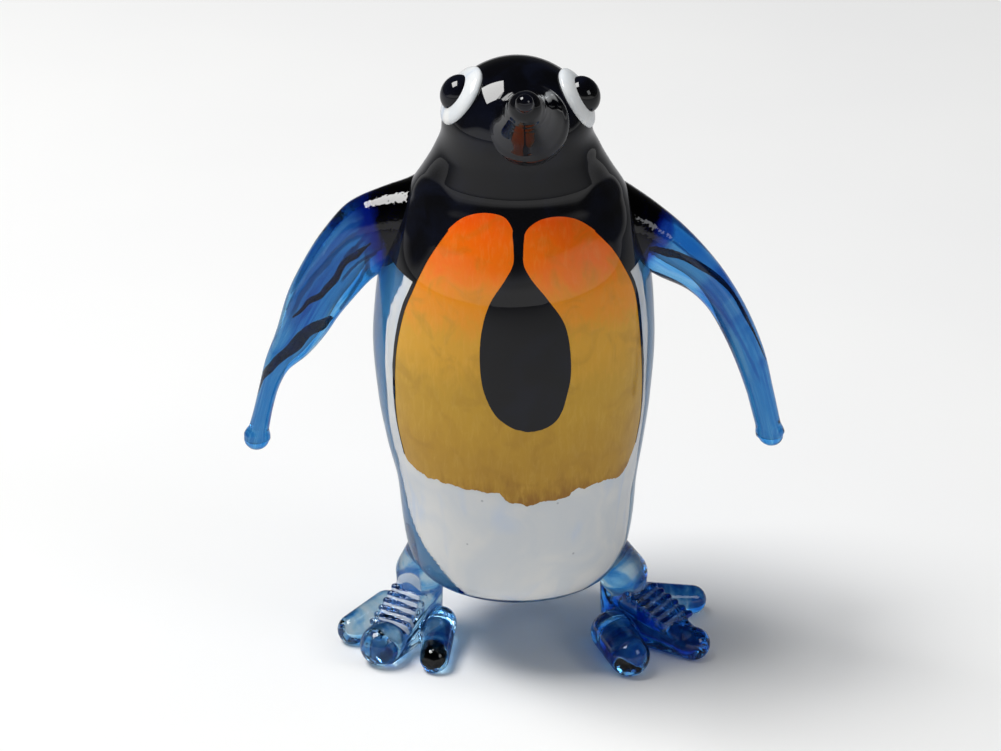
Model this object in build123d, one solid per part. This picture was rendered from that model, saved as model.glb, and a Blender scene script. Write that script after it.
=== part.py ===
from build123d import *
import math
import os

# Penguin figurine of flame-worked glass, standing on two ribbed feet.
# Millimetres. +Z is up, the penguin faces -Y and its own left side is +X.
# The origin is on the table, below the middle of the box that holds the figure.
# A share is a part of the named size that its table or its comment gives.

# Whole figure
figure_height = 48.3
body_width = 21.2
body_depth = 19.6
flipper_span = 41.2
beak_proud = 1.15
overrun = 1.0
ring_quarters = 4

# Body: a white core, a blue casing behind it and coloured skins in front of it
casing_wall_right = 1.3
casing_wall_left = 0.6
casing_wall_front = 0.8
casing_wall_back = 1.6
casing_wall_bottom = 0.7
skin_start = 1.6
collar_edge_share = 0.702
collar_edge_tilt = 13.0
side_line_width = 0.34
side_line_taper_share = 1.3

# Body sections, from the underside to the neck: height as a share of
# figure_height, half width and sideways place as shares of body_width,
# front and back depth as shares of body_depth
body_section_shares = [
    (0.126, 0.283, 0.296, 0.300, 0.012),
    (0.139, 0.354, 0.362, 0.372, 0.012),
    (0.170, 0.399, 0.423, 0.429, 0.014),
    (0.228, 0.420, 0.454, 0.459, 0.015),
    (0.290, 0.432, 0.474, 0.474, 0.013),
    (0.362, 0.462, 0.492, 0.490, 0.006),
    (0.435, 0.486, 0.500, 0.500, 0.002),
    (0.530, 0.500, 0.500, 0.500, 0.000),
    (0.600, 0.491, 0.490, 0.490, 0.002),
    (0.662, 0.472, 0.469, 0.459, 0.004),
    (0.731, 0.429, 0.418, 0.388, 0.008),
    (0.783, 0.377, 0.367, 0.311, 0.012),
    (0.818, 0.330, 0.344, 0.250, 0.012),
    (0.853, 0.288, 0.349, 0.208, 0.012),
    (0.905, 0.236, 0.336, 0.180, 0.012),
]
core_section_count = 12

# Chest markings seen from the front: sideways as a share of body_width,
# height as a share of figure_height
lobe_right_edge_shares = [
    (-0.167, 0.782),
    (-0.225, 0.760),
    (-0.277, 0.727),
    (-0.318, 0.694),
    (-0.350, 0.661),
    (-0.380, 0.625),
    (-0.410, 0.556),
    (-0.416, 0.486),
    (-0.400, 0.418),
    (-0.366, 0.368),
]
lobe_right_bottom_shares = [(-0.294, 0.356), (-0.180, 0.356), (-0.049, 0.350), (0.042, 0.336)]
lobe_right_top_shares = [(0.002, 0.742), (-0.001, 0.763), (-0.032, 0.786), (-0.099, 0.791)]
lobe_seam_shares = (0.037, 0.500)
lobe_left_edge_shares = [
    (0.206, 0.778),
    (0.275, 0.756),
    (0.334, 0.726),
    (0.388, 0.683),
    (0.418, 0.647),
    (0.442, 0.562),
    (0.450, 0.490),
    (0.448, 0.436),
    (0.432, 0.385),
    (0.406, 0.360),
]
lobe_left_bottom_shares = [(0.302, 0.349), (0.213, 0.346), (0.130, 0.336), (0.042, 0.336)]
lobe_left_top_shares = [(0.026, 0.742), (0.039, 0.767), (0.080, 0.781), (0.141, 0.785)]
drop_outline_shares = [
    (-0.003, 0.745),
    (-0.004, 0.722),
    (-0.032, 0.699),
    (-0.082, 0.665),
    (-0.110, 0.623),
    (-0.117, 0.568),
    (-0.100, 0.520),
    (-0.055, 0.483),
    (0.037, 0.460),
    (0.141, 0.473),
    (0.185, 0.523),
    (0.194, 0.563),
    (0.172, 0.628),
    (0.114, 0.669),
    (0.053, 0.703),
    (0.031, 0.722),
    (0.030, 0.745),
]
drop_stem_shares = [(0.030, 0.762), (-0.003, 0.762)]
belly_right_edge_shares = [
    (-0.300, 0.790),
    (-0.386, 0.668),
    (-0.422, 0.629),
    (-0.446, 0.576),
    (-0.451, 0.500),
    (-0.435, 0.403),
    (-0.411, 0.352),
    (-0.375, 0.262),
    (-0.340, 0.225),
    (-0.274, 0.190),
    (-0.172, 0.142),
]
belly_left_edge_shares = [
    (0.257, 0.142),
    (0.350, 0.165),
    (0.405, 0.200),
    (0.421, 0.279),
    (0.440, 0.340),
    (0.462, 0.440),
    (0.470, 0.544),
    (0.462, 0.612),
    (0.440, 0.668),
    (0.340, 0.790),
]

# Head, beak and eyes
head_radius = 5.5
# A ball has a seam line down one side. It is turned to the back, clear of the eyes.
ball_seam_bearing = 90.0
head_aside = 0.20
head_forward = 1.5
neck_seam_drop = 2.6
beak_length = 6.8
beak_base_radius = 3.05
beak_tip_radius = 0.66
beak_aside = 0.9
beak_lean = 2.5
beak_rise = 1.6
beak_pitch = 34.0
beak_profile_shares = [(0.10, 0.97), (0.20, 0.87), (0.40, 0.69), (0.60, 0.54), (0.80, 0.40), (0.90, 0.32)]
eye_radius = 2.35
eye_rise = 0.9
eye_bearing = {"right": 76.0, "left": 82.0}
eye_pitch = {"right": 34.0, "left": 29.5}
pupil_radius = 1.3
pupil_sink = 0.4

# Flippers: the lower and the upper edge as shares of the flipper's reach past
# the body's widest place, negative inside the body, with heights as shares of
# figure_height, then the thickness as a share of flipper_thickness. The right
# one hangs wider than the left one. Each ends in a ball.
flipper_thickness = 5.2
flipper_tip_radius = 0.98
flipper_tip_share = {"right": 0.352, "left": 0.359}
flipper_neck_share = 0.8
flipper_right_shares = [
    (-0.442, 0.640, -0.442, 0.808, 1.55),
    (-0.280, 0.646, -0.280, 0.789, 1.24),
    (-0.164, 0.648, -0.123, 0.778, 1.02),
    (-0.030, 0.632, 0.155, 0.752, 0.86),
    (0.145, 0.592, 0.355, 0.706, 0.74),
    (0.254, 0.563, 0.516, 0.652, 0.64),
    (0.345, 0.534, 0.635, 0.600, 0.56),
    (0.495, 0.497, 0.726, 0.538, 0.48),
    (0.646, 0.470, 0.821, 0.484, 0.42),
    (0.728, 0.436, 0.864, 0.447, 0.38),
    (0.771, 0.404, 0.907, 0.410, 0.36),
]
flipper_left_shares = [
    (-0.442, 0.640, -0.442, 0.806, 1.55),
    (-0.260, 0.644, -0.250, 0.784, 1.24),
    (-0.123, 0.646, -0.102, 0.764, 1.00),
    (0.042, 0.630, 0.174, 0.718, 0.84),
    (0.228, 0.611, 0.394, 0.669, 0.70),
    (0.382, 0.580, 0.563, 0.621, 0.62),
    (0.524, 0.528, 0.734, 0.555, 0.54),
    (0.633, 0.476, 0.846, 0.493, 0.46),
    (0.714, 0.429, 0.913, 0.435, 0.40),
]

# Dark threads drawn out inside the flippers: for each flipper section past
# the shoulder, the place between the lower edge (0) and the upper edge (1)
stringer_breadth = 0.8
stringer_thickness = 0.5
stringer_taper_share = 0.35
stringer_place_shares = {
    ("right", "upper"): [0.62, 0.62, 0.64, 0.68, 0.72, 0.74],
    ("right", "lower"): [0.24, 0.24, 0.26, 0.30, 0.36, 0.42, 0.50],
    ("left", "upper"): [0.52, 0.54, 0.62, 0.70, 0.74, 0.76],
    ("left", "lower"): [0.18, 0.18, 0.18, 0.20, 0.22],
}

# Legs and feet. Foot lengths run from the heel's middle to the middle toe's.
# Toe places are shares of foot_length: ahead of the heel and outward from it.
# The instep's front is a share of middle_toe_radius wide.
# Insets run inward from the body's widest place, the leg's sink up from its
# underside, and the leg bends at a share of the underside's height.
leg_sink = 4.4
leg_bend_share = 0.854
leg_top_radius = 2.3
leg_bend_radius = 1.9
heel_radius = 1.75
leg_top_inset = 5.0
leg_top_forward = 1.6
sole_press = 0.14
pad_rear_width = 3.7
pad_front_width_share = 1.7
pad_rear_height = 4.7
pad_front_height = 2.0
rib_count = 6
rib_pitch = 0.72
rib_radius = 0.27
rib_length = 2.7
rib_skew = 16.0
foot_length = {"right": 6.0, "left": 6.7}
foot_turn = {"right": 29.0, "left": 53.0}
heel_inset = {"right": 3.3, "left": 2.0}
heel_back = {"right": 0.5, "left": 0.1}
middle_toe_radius = {"right": 1.65, "left": 1.3}
# Each toe: ahead and outward shares of its root, then of its tip, then the
# root's height as a share of middle_toe_radius
toe_place_shares = {
    ("right", "outer"): (0.12, 0.44, 0.72, 0.60, 1.00),
    ("right", "inner"): (0.10, -0.36, 0.84, -0.70, 0.85),
    ("left", "outer"): (-0.02, 0.42, 0.38, 0.89, 1.15),
    ("left", "inner"): (0.14, -0.42, 0.61, -0.74, 1.15),
}
toe_root_radius = {
    ("right", "outer"): 1.25,
    ("right", "inner"): 1.3,
    ("left", "outer"): 1.45,
    ("left", "inner"): 1.6,
}
toe_tip_radius = {
    ("right", "outer"): 1.2,
    ("right", "inner"): 1.15,
    ("left", "outer"): 1.15,
    ("left", "inner"): 1.52,
}

# Tail, on the side that the viewer in front doesn't see
tail_root_radius = 2.0
tail_tip_radius = 0.7
tail_root_rise = 3.5
tail_tip_drop = 0.9
tail_root_inset = 3.0

# Values that follow from the ones above
half_width = body_width / 2
half_span = flipper_span / 2
front_reach = body_depth / 2 + beak_proud
underside_height = body_section_shares[0][0] * figure_height
head_centre = Vector(head_aside, -head_forward, figure_height - head_radius)
ball_turn = Rot(0, 0, ball_seam_bearing)
SIDES = ("right", "left")
OUTWARD = {"right": -1, "left": 1}
TOES = ("outer", "inner")


def ring(centre, along, across, half_along, half_across):
    """An oval face around centre, its rim drawn as four quarters."""
    wide = along * half_along
    deep = across * half_across
    quarter = math.pi / 2
    edges = []
    for number in range(ring_quarters):
        turns = [quarter * (number + part) for part in (0, 1 / 2, 1)]
        points = [centre + wide * math.cos(turn) + deep * math.sin(turn) for turn in turns]
        ends = [deep * math.cos(turn) - wide * math.sin(turn) for turn in (turns[0], turns[-1])]
        edges.append(Spline(points, tangents=[end.normalized() for end in ends]))
    return make_face(edges)


def level_ring(aside, front, back, half_across, height):
    """A level section of the body between its front and back."""
    centre = Vector(aside, (back - front) / 2, height)
    return ring(centre, Vector(1, 0, 0), Vector(0, 1, 0), half_across, (back + front) / 2)


def half_space(plane):
    """A block that fills the space on the side that the plane's normal points to."""
    size = figure_height + flipper_span
    return plane * Pos(0, 0, size / 2) * Box(2 * size, 2 * size, size)


def body_form():
    """The body from its underside to the neck, as if it were one piece."""
    sections = []
    for height, half_across, front, back, aside in body_section_shares:
        sections.append(
            level_ring(
                aside * body_width,
                front * body_depth,
                back * body_depth,
                half_across * body_width,
                height * figure_height,
            )
        )
    return loft(sections)


def core_form():
    """The space inside the casing and the coloured skins."""
    top = body_section_shares[core_section_count - 1][0] * figure_height
    thinned = (casing_wall_left + casing_wall_right) / 2
    shifted = (casing_wall_right - casing_wall_left) / 2
    sections = []
    for height, half_across, front, back, aside in body_section_shares[:core_section_count]:
        level = height * figure_height
        level += casing_wall_bottom * (1 - level / top)
        sections.append(
            level_ring(
                aside * body_width + shifted,
                front * body_depth - casing_wall_front,
                back * body_depth - casing_wall_back,
                half_across * body_width - thinned,
                level,
            )
        )
    return loft(sections)


def front_points(shares):
    """Points of a front outline in the plane where the coloured skins start."""
    return [Vector(aside * body_width, -skin_start, height * figure_height) for aside, height in shares]


def front_prism(edges):
    """The space in front of the body inside an outline of edges."""
    return extrude(make_face(edges), body_depth, dir=(0, -1, 0))


def lobe_prism(top, edge, bottom):
    """The outline of one orange lobe, closed along the seam at the middle."""
    rim = Spline(front_points(top + edge))
    foot = Spline(front_points([edge[-1]] + bottom))
    seam = Polyline([foot @ 1] + front_points([lobe_seam_shares]) + [rim @ 0])
    return front_prism([rim, foot, seam])


def side_line_prism(edge, outward):
    """A strip from inside a lobe to just past its edge, narrower lower down."""
    rim = front_points(edge[2:])
    last = len(rim) - 1
    outer = []
    for number, point in enumerate(rim):
        width = side_line_width * (1 - side_line_taper_share * (number / last) ** 2)
        outer.append(point + Vector(outward * width, 0, 0))
    inner = [point - Vector(outward * overrun, 0, 0) for point in rim]
    outside = Spline(outer)
    inside = Spline(inner)
    ends = [Line(outside @ 0, inside @ 0), Line(outside @ 1, inside @ 1)]
    return front_prism([outside, inside] + ends)


def chest_prisms():
    """The outlines of the chest markings, by node name."""
    outline = front_points(drop_outline_shares)
    stem = front_points([drop_outline_shares[-1]] + drop_stem_shares + [drop_outline_shares[0]])
    drop = front_prism([Spline(outline), Polyline(stem)])
    lobe_right = lobe_prism(lobe_right_top_shares, lobe_right_edge_shares, lobe_right_bottom_shares)
    lobe_left = lobe_prism(lobe_left_top_shares, lobe_left_edge_shares, lobe_left_bottom_shares)
    line_right = side_line_prism(lobe_right_edge_shares, OUTWARD["right"])
    line_left = side_line_prism(lobe_left_edge_shares, OUTWARD["left"])
    return {
        "chest_drop": drop,
        "chest_lobe_right": lobe_right - drop,
        "chest_lobe_left": lobe_left - drop,
        "side_line_right": line_right - lobe_right,
        "side_line_left": line_left - lobe_left,
    }


def belly_prism():
    """The outline of the white front, with the coloured markings inside it."""
    right = Spline(front_points(belly_right_edge_shares))
    left = Spline(front_points(belly_left_edge_shares))
    under = Line(right @ 1, left @ 0)
    over = Line(left @ 1, right @ 0)
    return front_prism([right, under, left, over])


def flipper_sections(side):
    """Each flipper section as its lower point, its upper point and its thickness."""
    shares = flipper_right_shares if side == "right" else flipper_left_shares
    reach = half_span - half_width
    sections = []
    for low_aside, low_height, high_aside, high_height, thickness in shares:
        low = Vector(OUTWARD[side] * (half_width + low_aside * reach), 0, low_height * figure_height)
        high = Vector(OUTWARD[side] * (half_width + high_aside * reach), 0, high_height * figure_height)
        sections.append((low, high, thickness * flipper_thickness))
    return sections


def flipper_form(side):
    """One flipper with its root inside the body and a round ball at its tip."""
    rings = []
    for low, high, thickness in flipper_sections(side):
        breadth = high - low
        rings.append(
            ring((low + high) / 2, breadth.normalized(), Vector(0, 1, 0), breadth.length / 2, thickness / 2)
        )
    tip_aside = OUTWARD[side] * (half_span - flipper_tip_radius)
    tip = Vector(tip_aside, 0, flipper_tip_share[side] * figure_height)
    neck_radius = flipper_neck_share * flipper_tip_radius
    rings.append(ring(tip, breadth.normalized(), Vector(0, 1, 0), neck_radius, neck_radius))
    return loft(rings) + Pos(tip) * Sphere(flipper_tip_radius)


def past_shoulder(side):
    """The space outside the plane where a black shoulder meets its blue flipper."""
    outward = OUTWARD[side]
    return half_space(Plane(origin=(outward * half_width, 0, 0), z_dir=(outward, 0, 0)))


def stringer_form(side, row):
    """A dark thread inside a flipper, thinning towards the flipper's tip."""
    places = stringer_place_shares[(side, row)]
    sections = flipper_sections(side)[1:]
    rings = []
    for number, place in enumerate(places):
        low, high, thickness = sections[number]
        breadth = high - low
        scale = 1 - (1 - stringer_taper_share) * number / (len(places) - 1)
        rings.append(
            ring(
                low + breadth * place,
                breadth.normalized(),
                Vector(0, 1, 0),
                scale * stringer_breadth / 2,
                scale * stringer_thickness / 2,
            )
        )
    return loft(rings)


def drop_form(start, end, start_radius, end_radius):
    """A drawn-out drop of glass between two round ends."""
    axis = end - start
    lean = (start_radius - end_radius) / axis.length
    level = math.sqrt(1 - lean * lean)
    middle = math.sqrt(0.5)
    first = [
        (0, 0, -start_radius),
        (start_radius * middle, 0, -start_radius * middle),
        (start_radius * level, 0, start_radius * lean),
    ]
    last = [
        (end_radius * level, 0, axis.length + end_radius * lean),
        (end_radius * middle, 0, axis.length + end_radius * middle),
        (0, 0, axis.length + end_radius),
    ]
    edges = [ThreePointArc(*first), Line(first[2], last[0]), ThreePointArc(*last), Line(last[2], first[0])]
    turned = revolve(make_face(edges), Axis.Z)
    return Plane(origin=start, z_dir=axis) * turned


def beak_form():
    """The beak: a round swelling on the face that draws out to a small ball."""
    shank = beak_length - beak_tip_radius
    pitch = math.radians(beak_pitch)
    base_forward = front_reach - beak_tip_radius - shank * math.cos(pitch)
    base = Vector(beak_aside, -base_forward, head_centre.Z + beak_rise)
    profile = [(beak_base_radius, 0, 0)]
    for along, radius in beak_profile_shares:
        profile.append((radius * beak_base_radius, 0, along * shank))
    neck = (beak_tip_radius, 0, shank)
    tip_bend = beak_tip_radius * math.sqrt(0.5)
    crown = ThreePointArc(neck, (tip_bend, 0, shank + tip_bend), (0, 0, beak_length))
    back = (0, 0, -beak_base_radius)
    edges = [
        Spline(profile + [neck]),
        crown,
        Line((0, 0, beak_length), back),
        Line(back, (beak_base_radius, 0, -beak_base_radius)),
        Line((beak_base_radius, 0, -beak_base_radius), profile[0]),
    ]
    turned = revolve(make_face(edges), Axis.Z)
    lean = math.radians(beak_lean)
    forward = Vector(-math.cos(pitch) * math.sin(lean), -math.cos(pitch) * math.cos(lean), math.sin(pitch))
    return Plane(origin=base, z_dir=forward) * turned


def eye_direction(side):
    """The way an eye looks from the middle of the head."""
    bearing = math.radians(eye_bearing[side])
    pitch = math.radians(eye_pitch[side])
    level = math.cos(pitch)
    return Vector(OUTWARD[side] * level * math.sin(bearing), -level * math.cos(bearing), math.sin(pitch))


def eye_forms(side):
    """The white lens and the black bead of one eye."""
    direction = eye_direction(side)
    rim_distance = math.sqrt(head_radius**2 - eye_radius**2)
    lens_radius = (eye_radius**2 + eye_rise**2) / (2 * eye_rise)
    crown_distance = rim_distance + eye_rise
    lens = Pos(head_centre + direction * (crown_distance - lens_radius)) * ball_turn * Sphere(lens_radius)
    bead = Pos(head_centre + direction * (crown_distance - pupil_sink)) * ball_turn * Sphere(pupil_radius)
    return lens, bead


def foot_frame(side):
    """The way a foot points and the way to its outer side, both level."""
    turn = math.radians(foot_turn[side])
    outward = OUTWARD[side]
    ahead = Vector(outward * math.sin(turn), -math.cos(turn), 0)
    aside = Vector(outward * math.cos(turn), math.sin(turn), 0)
    return ahead, aside


def heel_place(side):
    """The middle of the heel on the table."""
    return Vector(OUTWARD[side] * (half_width - heel_inset[side]), heel_back[side], 0)


def leg_form(side):
    """A short leg from inside the body's lower side down to the heel."""
    heel = heel_place(side)
    bend = heel + Vector(0, 0, leg_bend_share * underside_height)
    top_aside = OUTWARD[side] * (half_width - leg_top_inset)
    top = Vector(top_aside, -leg_top_forward, underside_height + leg_sink)
    levels = [
        (top, leg_top_radius),
        ((top + bend) / 2, (leg_top_radius + leg_bend_radius) / 2),
        (bend, leg_bend_radius),
        ((heel + bend) / 2, heel_radius),
        (heel - Vector(0, 0, overrun), heel_radius),
    ]
    rings = [ring(place, Vector(1, 0, 0), Vector(0, 1, 0), radius, radius) for place, radius in levels]
    return loft(rings)


def pad_form(side):
    """The ribbed instep between the heel and the middle toe."""
    ahead, aside = foot_frame(side)
    length = foot_length[side]
    heel = heel_place(side)
    front_width = pad_front_width_share * middle_toe_radius[side]
    ends = []
    rear = (0, pad_rear_width, pad_rear_height)
    front = (length, front_width, pad_front_height)
    for along, width, height in (rear, front):
        frame = Plane(origin=heel + ahead * along, x_dir=aside, z_dir=aside.cross(Vector(0, 0, 1)))
        ends.append(frame * Pos(0, (height - overrun) / 2) * Rectangle(width, height + overrun))
    wedge = loft(ends, ruled=True)
    slope = Vector(ahead.X * length, ahead.Y * length, pad_front_height - pad_rear_height).normalized()
    centre = heel + ahead * (length / 2)
    centre += Vector(0, 0, (pad_front_height + pad_rear_height) / 2)
    across = aside.rotate(Axis.Z, -OUTWARD[side] * rib_skew)
    ribs = []
    for number in range(rib_count):
        place = centre + slope * (rib_pitch * (number - (rib_count - 1) / 2))
        rib = Plane(origin=place, z_dir=across) * Cylinder(rib_radius, rib_length)
        ribs.append(rib)
    return wedge + ribs


def toe_forms(side):
    """The three toes of one foot, each a drawn-out drop, by toe name."""
    ahead, aside = foot_frame(side)
    heel = heel_place(side)
    length = foot_length[side]
    ball = middle_toe_radius[side]
    middle = heel + ahead * length + Vector(0, 0, ball - sole_press)
    toes = {"middle": Pos(middle) * Sphere(ball)}
    for toe in TOES:
        root_ahead, root_aside, tip_ahead, tip_aside, root_height = toe_place_shares[(side, toe)]
        root = heel + ahead * (root_ahead * length) + aside * (root_aside * length)
        tip = heel + ahead * (tip_ahead * length) + aside * (tip_aside * length)
        root_radius = toe_root_radius[(side, toe)]
        tip_radius = toe_tip_radius[(side, toe)]
        root += Vector(0, 0, root_height * ball)
        tip += Vector(0, 0, tip_radius - sole_press)
        toes[toe] = drop_form(root, tip, root_radius, tip_radius)
    return toes


def tail_form():
    """A small drawn-out point at the lower back."""
    root_back = body_depth / 2 - tail_root_inset
    tip_back = front_reach - tail_tip_radius
    root = Vector(0, root_back, underside_height + tail_root_rise)
    tip = Vector(0, tip_back, underside_height - tail_tip_drop)
    return drop_form(root, tip, tail_root_radius, tail_tip_radius)


def body_nodes(nodes):
    """The head, the collar and the fused layers of the body."""
    body = body_form()
    core = core_form()
    head_ball = Pos(head_centre) * ball_turn * Sphere(head_radius)
    above_neck = half_space(Plane(origin=(0, 0, head_centre.Z - neck_seam_drop)))
    edge_plane = Plane(origin=(0, 0, collar_edge_share * figure_height))
    above_edge = half_space(edge_plane.rotated((collar_edge_tilt, 0, 0)))
    whole = body + head_ball
    trunk = body - above_neck
    shell = trunk - core
    lower_shell = shell - above_edge
    prisms = chest_prisms()
    white_front = belly_prism()
    nodes["head"] = whole & above_neck
    belly = core + (lower_shell & white_front)
    for name, prism in prisms.items():
        nodes[name] = shell & prism
        belly -= nodes[name]
    nodes["belly_core"] = belly
    nodes["back_casing"] = lower_shell - white_front
    collar = trunk & above_edge
    below_edge = trunk - above_edge
    for side in SIDES:
        root = flipper_form(side) - past_shoulder(side) - below_edge
        collar += root
    collar -= core
    for prism in prisms.values():
        collar -= prism
    nodes["collar"] = collar
    return whole


def head_nodes(nodes, whole):
    """The beak and the eyes, seated on the head."""
    nodes["beak"] = beak_form() - whole
    for side in SIDES:
        lens, bead = eye_forms(side)
        nodes["eye_white_" + side] = lens - whole - bead
        nodes["eye_pupil_" + side] = bead - whole


def flipper_nodes(nodes):
    """The blue blades of the flippers with the dark threads in them."""
    for side in SIDES:
        blade = flipper_form(side) & past_shoulder(side)
        for row in ("upper", "lower"):
            stringer = stringer_form(side, row) & past_shoulder(side)
            nodes["stringer_" + row + "_" + side] = stringer
            blade -= stringer
        nodes["flipper_" + side] = blade


def foot_nodes(nodes, whole):
    """The legs, the ribbed insteps and the toes, each cut to meet the last."""
    above_table = half_space(Plane.XY)
    for side in SIDES:
        forms = {"leg": leg_form(side), "foot_pad": pad_form(side)}
        for toe, form in toe_forms(side).items():
            forms["toe_" + toe] = form
        taken = [whole]
        for name, form in forms.items():
            piece = form
            for other in taken:
                piece -= other
            nodes[name + "_" + side] = piece & above_table
            taken.append(form)


def make_nodes():
    """Every piece of the figure, by node name."""
    nodes = {}
    whole = body_nodes(nodes)
    head_nodes(nodes, whole)
    flipper_nodes(nodes)
    foot_nodes(nodes, whole)
    nodes["tail"] = tail_form() - whole
    return nodes


os.makedirs("parts", exist_ok=True)
for name, shape in make_nodes().items():
    export_step(shape, "parts/" + name + ".step")
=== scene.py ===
import math

import bmesh
import bpy
from mathutils import Matrix, Vector, noise
from mathutils.geometry import delaunay_2d_cdt


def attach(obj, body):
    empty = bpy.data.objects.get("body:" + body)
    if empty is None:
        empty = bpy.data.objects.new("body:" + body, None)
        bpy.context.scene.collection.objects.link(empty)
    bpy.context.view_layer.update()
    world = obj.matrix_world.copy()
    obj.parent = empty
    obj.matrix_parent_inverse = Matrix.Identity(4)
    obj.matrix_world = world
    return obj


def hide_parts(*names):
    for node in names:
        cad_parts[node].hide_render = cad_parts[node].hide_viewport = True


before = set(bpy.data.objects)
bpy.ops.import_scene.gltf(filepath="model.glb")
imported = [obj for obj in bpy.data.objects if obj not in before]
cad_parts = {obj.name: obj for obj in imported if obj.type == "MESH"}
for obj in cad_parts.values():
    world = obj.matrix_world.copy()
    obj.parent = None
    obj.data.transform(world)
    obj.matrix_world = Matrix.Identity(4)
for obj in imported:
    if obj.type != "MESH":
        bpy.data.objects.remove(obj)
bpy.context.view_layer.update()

# Penguin figurine of flame-worked glass. Metres, in the frame of the CAD model:
# +Z is up, the penguin faces -Y and its own left side is +X.

mm = 0.001

# Whole figure
figure_height = 48.3 * mm
body_width = 21.2 * mm
body_depth = 19.6 * mm
flipper_span = 41.2 * mm
half_width = body_width / 2
half_span = flipper_span / 2
OUTWARD = {"right": -1, "left": 1}

# Body sections from the underside up: height as a share of figure_height,
# half width as a share of body_width, front and back depth as shares of
# body_depth, sideways place as a share of body_width
body_section_shares = [
    (0.1185, 0.120, 0.125, 0.125, 0.012),
    (0.1200, 0.225, 0.235, 0.235, 0.012),
    (0.1240, 0.292, 0.302, 0.305, 0.012),
    (0.1310, 0.338, 0.346, 0.352, 0.012),
    (0.1440, 0.372, 0.384, 0.392, 0.012),
    (0.1700, 0.399, 0.423, 0.429, 0.014),
    (0.2280, 0.420, 0.454, 0.459, 0.015),
    (0.2900, 0.432, 0.474, 0.474, 0.013),
    (0.3620, 0.462, 0.492, 0.490, 0.006),
    (0.4350, 0.486, 0.500, 0.500, 0.002),
    (0.5300, 0.500, 0.500, 0.500, 0.000),
    (0.6000, 0.491, 0.490, 0.490, 0.002),
    (0.6620, 0.472, 0.469, 0.459, 0.004),
    (0.7310, 0.429, 0.418, 0.388, 0.008),
    (0.7830, 0.377, 0.367, 0.311, 0.012),
    (0.8180, 0.330, 0.344, 0.250, 0.012),
    (0.8530, 0.288, 0.345, 0.212, 0.012),
]

# Head: a ball, a little flat on top, that the neck runs into
head_radius = 5.5 * mm
crown_share = 0.945
head_aside = 0.20 * mm
head_forward = 1.5 * mm
head_centre = Vector((head_aside, -head_forward, figure_height - head_radius))
neck_start_share = 0.80
head_start_share = 0.900
head_row_shares = (0.885, head_start_share, 0.92)

# Walls of the clear blue casing over the white core. Its edge beside the belly
# fades out and dips a little, and the casing runs some way into the core.
casing_wall_right = 1.25 * mm
casing_wall_left = 0.75 * mm
casing_wall_back = 1.6 * mm
casing_fade = 0.6 * mm
casing_overlap = 0.15 * mm
casing_edge_sink = 0.06 * mm
casing_edge_inside = 0.3 * mm
casing_edge_outside = 0.25 * mm
casing_edge_reach = 0.5 * mm

# Thin glass laid on the body, and the black hood
skin_lift = 0.02 * mm
skin_depth = 0.35 * mm
hood_depth = 0.6 * mm
hood_bed = 0.45 * mm
collar_edge_share = 0.702
collar_edge_tilt = math.radians(13)

# Mesh density
turn_count = 168
boundary_step = 0.12 * mm
grid_step = 0.36 * mm
slope_step = 0.02 * mm
core_rows = 110
table_sides = 96

# Outlines of the chest markings seen from the front: sideways as a share of
# body_width, height as a share of figure_height
lobe_right_shares = [
    (0.002, 0.742), (-0.001, 0.763), (-0.032, 0.786), (-0.099, 0.791), (-0.167, 0.782), (-0.225, 0.760),
    (-0.277, 0.727), (-0.318, 0.694), (-0.350, 0.661), (-0.380, 0.625), (-0.410, 0.556), (-0.416, 0.486),
    (-0.408, 0.430), (-0.384, 0.378), (-0.366, 0.368), (-0.330, 0.359), (-0.294, 0.356), (-0.223, 0.355),
    (-0.136, 0.355), (-0.083, 0.352), (-0.049, 0.350), (-0.024, 0.339), (0.000, 0.336), (0.046, 0.334),
    (0.046, 0.400), (0.046, 0.500), (0.046, 0.600), (0.020, 0.700),
]
lobe_left_shares = [
    (0.026, 0.742), (0.039, 0.767), (0.080, 0.781), (0.141, 0.785), (0.206, 0.778), (0.275, 0.756),
    (0.334, 0.726), (0.388, 0.683), (0.418, 0.647), (0.442, 0.562), (0.450, 0.490), (0.446, 0.430),
    (0.430, 0.385), (0.411, 0.366), (0.397, 0.352), (0.375, 0.344), (0.338, 0.346), (0.302, 0.349),
    (0.249, 0.349), (0.208, 0.347), (0.190, 0.341), (0.160, 0.338), (0.125, 0.337), (0.091, 0.335),
    (0.030, 0.334), (0.030, 0.400), (0.030, 0.500), (0.030, 0.600), (0.022, 0.700),
]
lobe_ragged_height_share = 0.40
lobe_ragged_depth = 0.20 * mm
drop_ragged_height_share = 0.56
drop_ragged_depth = 0.06 * mm
drop_shares = [
    (-0.003, 0.770), (-0.003, 0.745), (-0.004, 0.722), (-0.032, 0.699), (-0.082, 0.665), (-0.110, 0.623),
    (-0.117, 0.568), (-0.100, 0.520), (-0.055, 0.483), (0.037, 0.460), (0.141, 0.473), (0.185, 0.523),
    (0.194, 0.563), (0.172, 0.628), (0.114, 0.669), (0.053, 0.703), (0.031, 0.722), (0.030, 0.745),
    (0.030, 0.770),
]
side_line_width = 0.34 * mm
side_line_right_shares = lobe_right_shares[5:14]
side_line_left_shares = lobe_left_shares[5:13]
belly_right_shares = [
    (0.790, -0.300), (0.728, -0.352), (0.668, -0.386), (0.629, -0.422), (0.576, -0.446), (0.500, -0.451),
    (0.403, -0.435), (0.352, -0.411), (0.262, -0.375), (0.225, -0.340), (0.190, -0.274), (0.142, -0.172),
]
belly_left_shares = [
    (0.790, 0.340), (0.728, 0.402), (0.668, 0.440), (0.612, 0.462), (0.544, 0.470), (0.440, 0.462),
    (0.340, 0.440), (0.279, 0.421), (0.200, 0.405), (0.165, 0.350), (0.142, 0.257),
]

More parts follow.
